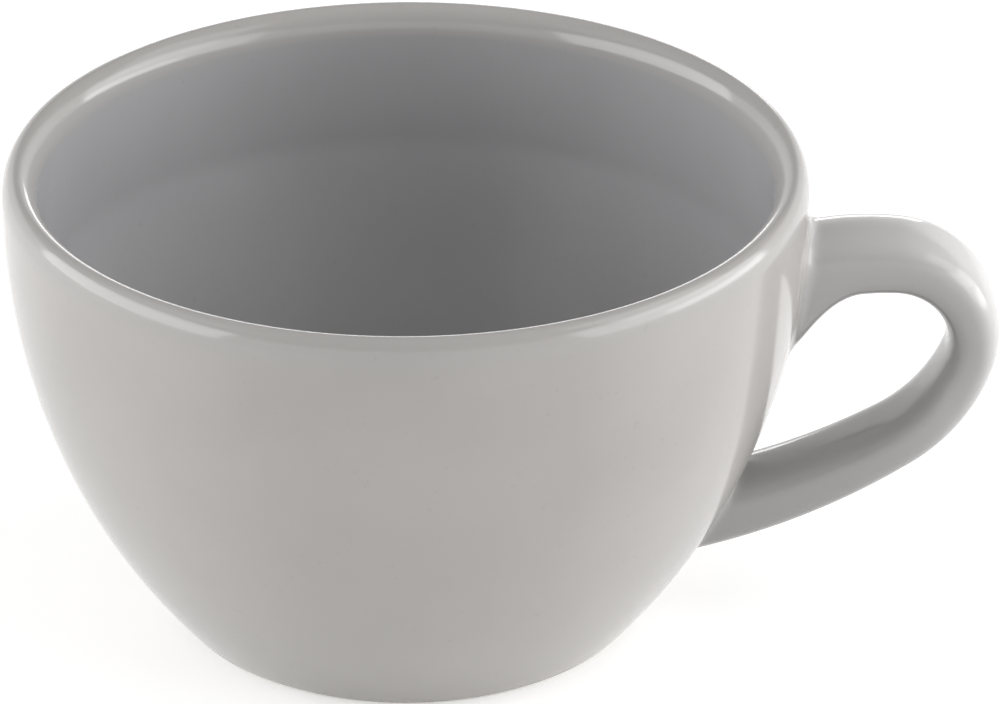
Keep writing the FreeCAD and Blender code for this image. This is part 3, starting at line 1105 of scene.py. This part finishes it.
    def build(self, bowl: Bowl, glaze: Finish) -> None:
        """Make and dress the handle's glaze as one closed skin.

        Args:
            bowl: The bowl it stands on.
            glaze: Its finish.
        """
        rings, caps = self.surface(bowl)
        count, across = rings.shape[:2]
        spots = np.concatenate([rings.reshape(-1, 3), caps]) * MM
        faces: list[tuple[int, ...]] = []
        for near in range(0, (count - 1) * across, across):
            far = near + across
            for at in range(across):
                beside = (at + 1) % across
                faces.append((near + at, near + beside, far + beside, far + at))
        last = (count - 1) * across
        for at in range(across):
            beside = (at + 1) % across
            faces.append((count * across, beside, at))
            faces.append((count * across + 1, last + at, last + beside))
        mesh = bpy.data.meshes.new("handle_glaze")
        mesh.from_pydata(spots.tolist(), [], faces)
        mesh.shade_smooth()
        for name, values in zip((self.LIGHT_AND_SHADE, self.SHARE), self.strap_light_and_shade()):
            layer = mesh.attributes.new(name, "FLOAT", "POINT")
            filled = np.concatenate([values.ravel(), np.zeros(len(caps))])
            layer.data.foreach_set("value", filled.astype(np.float32))
        face_outwards(mesh)
        mesh.materials.append(glaze)
        settle(show("handle_glaze", mesh), Node.COAT)


def settle(piece: bpy.types.Object, node: Node) -> None:
    """Let a piece ride on the cup in place of a solid.

    Args:
        piece: The piece.
        node: Solid it stands for.
    """
    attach(piece, "root")
    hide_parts(node.value)
    log.info("%s stands for %s, %d faces", piece.name, node.value, len(piece.data.polygons))


def dress_hidden(clay: Finish, slip: Finish) -> None:
    """Give the clay handle and its slip joints their own finishes.

    Args:
        clay: Finish of the handle's clay.
        slip: Finish of the joints.
    """
    for node, finish in ((Node.HANDLE, clay), (Node.UPPER_SLIP, slip), (Node.LOWER_SLIP, slip)):
        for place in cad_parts[node.value].material_slots:
            place.material = finish
        log.info("%s keeps its solid, in %s", node.value, finish.name)


# ---------------------------------------------------------------- the studio


@dataclass(frozen=True)
class SoftBox:
    """One rectangular studio lamp, turned to the cup."""

    name: str
    place: Place
    size: Point
    watts: float
    aim: Place = (0.0, 0.0, 0.035)

    def hang(self) -> None:
        """Hang the lamp and turn it to the cup."""
        lamp = bpy.data.lights.new(self.name, "AREA")
        lamp.shape = "RECTANGLE"
        lamp.size, lamp.size_y = self.size
        lamp.energy = self.watts
        holder = show(self.name, lamp)
        holder.location = self.place
        look = Vector(self.aim) - Vector(self.place)
        holder.rotation_euler = look.to_track_quat("-Z", "Y").to_euler()
        log.info("%s hangs at %s", self.name, self.place)


@dataclass
class Studio:
    """Pale floor, soft lamps, white surroundings under a dim room, and the camera."""

    distance: float = 1.0
    elevation: float = 26.82
    azimuth: float = 1.5
    target_height: float = 0.03581
    aside: float = 0.0121
    lens: float = 276.56
    film_width: float = 36.0
    floor_reach: float = 6.0
    floor_drop: float = 0.00003
    surround: float = 0.47
    sweep_top: float = 0.30
    room_from: float = 0.44
    room: float = 0.08
    lamps: tuple[SoftBox, ...] = (
        SoftBox("left_softbox", (-1.10, -0.15, 0.36), (1.5, 0.66), 9.2),
        SoftBox("right_softbox", (1.10, -0.15, 0.36), (1.5, 0.66), 7.6),
        SoftBox("right_high_softbox", (0.86, -0.075, 0.71), (0.8, 0.8), 2.9),
        SoftBox("left_high_softbox", (-0.86, -0.075, 0.71), (0.8, 0.8), 0.8),
        SoftBox("right_low_strip", (1.10, 0.10, 0.15), (0.8, 0.28), 1.8),
        SoftBox("back_low_strip", (0.05, 1.39, 0.20), (0.60, 0.20), 1.3),
    )

    def lay_floor(self) -> None:
        """Lay the floor, just under the foot ring."""
        mesh = bpy.data.meshes.new("studio_floor")
        reach, under = self.floor_reach, -self.floor_drop
        corners = [(-reach, -reach), (reach, -reach), (reach, reach), (-reach, reach)]
        mesh.from_pydata([(*corner, under) for corner in corners], [], [(0, 1, 2, 3)])
        floor = show("studio_floor", mesh)
        mesh.materials.append(PaleFloor().material())

    def surround_white(self) -> None:
        """Surround the cup: white to the eye and the gloss, softer as a lamp."""
        world = bpy.data.worlds.new("white_surroundings")
        bpy.context.scene.world = world
        sketch = NodeSketch(world, "Generated", "World")
        rays = sketch.add("ShaderNodeLightPath").outputs
        eye = rays["Is Camera Ray"]
        seen = sketch.maths("MAXIMUM", eye, rays["Is Glossy Ray"])
        through = sketch.maths("MAXIMUM", seen, rays["Is Transmission Ray"])
        fill, white = (
            sketch.add("ShaderNodeBackground", in_Color=(*WHITE, 1.0), in_Strength=strength)
            for strength in (self.surround, 1.0)
        )
        # the white sweep ends a little above the cup; the gloss sees a dim room over it
        axes = sketch.add("ShaderNodeSeparateXYZ")
        sketch.join(sketch.place, axes.inputs[0])
        low, high = (self.sweep_top, 1.0), (self.room_from, self.room)
        sweep = sketch.between(axes.outputs["Z"], low, high, "SMOOTHSTEP")
        sketch.join(sketch.maths("MAXIMUM", eye, sweep), white.inputs["Strength"])
        lit = sketch.either(through, fill.outputs[0], white.outputs[0])
        sketch.join(lit, sketch.output.inputs["Surface"])

    def place_camera(self) -> None:
        """Stand the camera where the photograph was taken from."""
        rise, turn = math.radians(self.elevation), math.radians(self.azimuth)
        aim = Vector((math.cos(turn), math.sin(turn), 0.0)) * self.aside
        aim.z = self.target_height
        level, up = math.cos(rise), math.sin(rise)
        stand = Vector((level * math.sin(turn), -level * math.cos(turn), up)) * self.distance
        stand.z += self.target_height
        data = bpy.data.cameras.new("studio_camera")
        data.sensor_fit = "HORIZONTAL"
        data.sensor_width = self.film_width
        data.lens = self.lens
        camera = show("studio_camera", data)
        camera.location = stand
        camera.rotation_euler = (aim - stand).to_track_quat("-Z", "Y").to_euler()
        bpy.context.scene.camera = camera

    def build(self) -> None:
        """Set up the whole studio."""
        bpy.context.scene.view_settings.view_transform = "Standard"
        self.lay_floor()
        self.surround_white()
        for lamp in self.lamps:
            lamp.hang()
        self.place_camera()


def main() -> None:
    """Build the cup and its studio."""
    logging.basicConfig(level=logging.INFO, format="%(name)s: %(message)s")
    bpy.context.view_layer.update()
    glaze, clay, slip = GreyGlaze().material(), FiredClay().material(), FiredSlip().material()
    bowl, handle = Bowl(), Handle()
    bowl.build(WheelTree(), glaze, clay)
    handle.build(bowl, glaze)
    dress_hidden(clay, slip)
    Studio().build()


if __name__ == "__main__":
    main()
